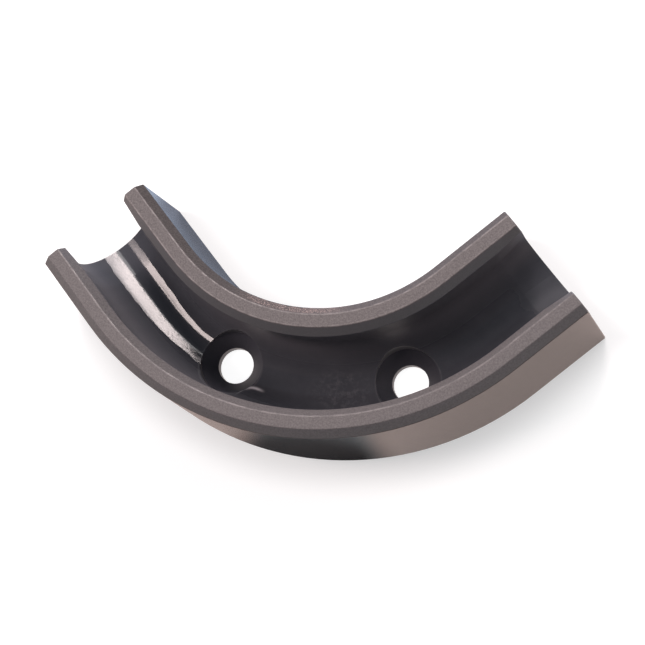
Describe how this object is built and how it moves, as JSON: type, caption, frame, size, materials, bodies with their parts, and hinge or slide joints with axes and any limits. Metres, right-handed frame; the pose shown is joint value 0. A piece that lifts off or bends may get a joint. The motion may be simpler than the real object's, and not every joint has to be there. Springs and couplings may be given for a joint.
{
  "type": "pipe bend support clip",
  "caption": "Open-topped moulded channel that turns a right angle, snaps over a small plastic pipe to hold its bend, and screws flat to a wall or floor.",
  "frame": {"origin": "on the flat back, under the pipe's centreline at the middle of the bend", "axes": "+X across both arms, +Y from the middle of the bend towards the centre it turns about, +Z out of the open mouth"},
  "size_m": [0.07, 0.031, 0.0159],
  "materials": {
    "body": "dark grey moulding: polished inside the channel, finely grained on the rims"
  },
  "bodies": {
    "root": {"bend_support": "body"}
  },
  "joints": []
}
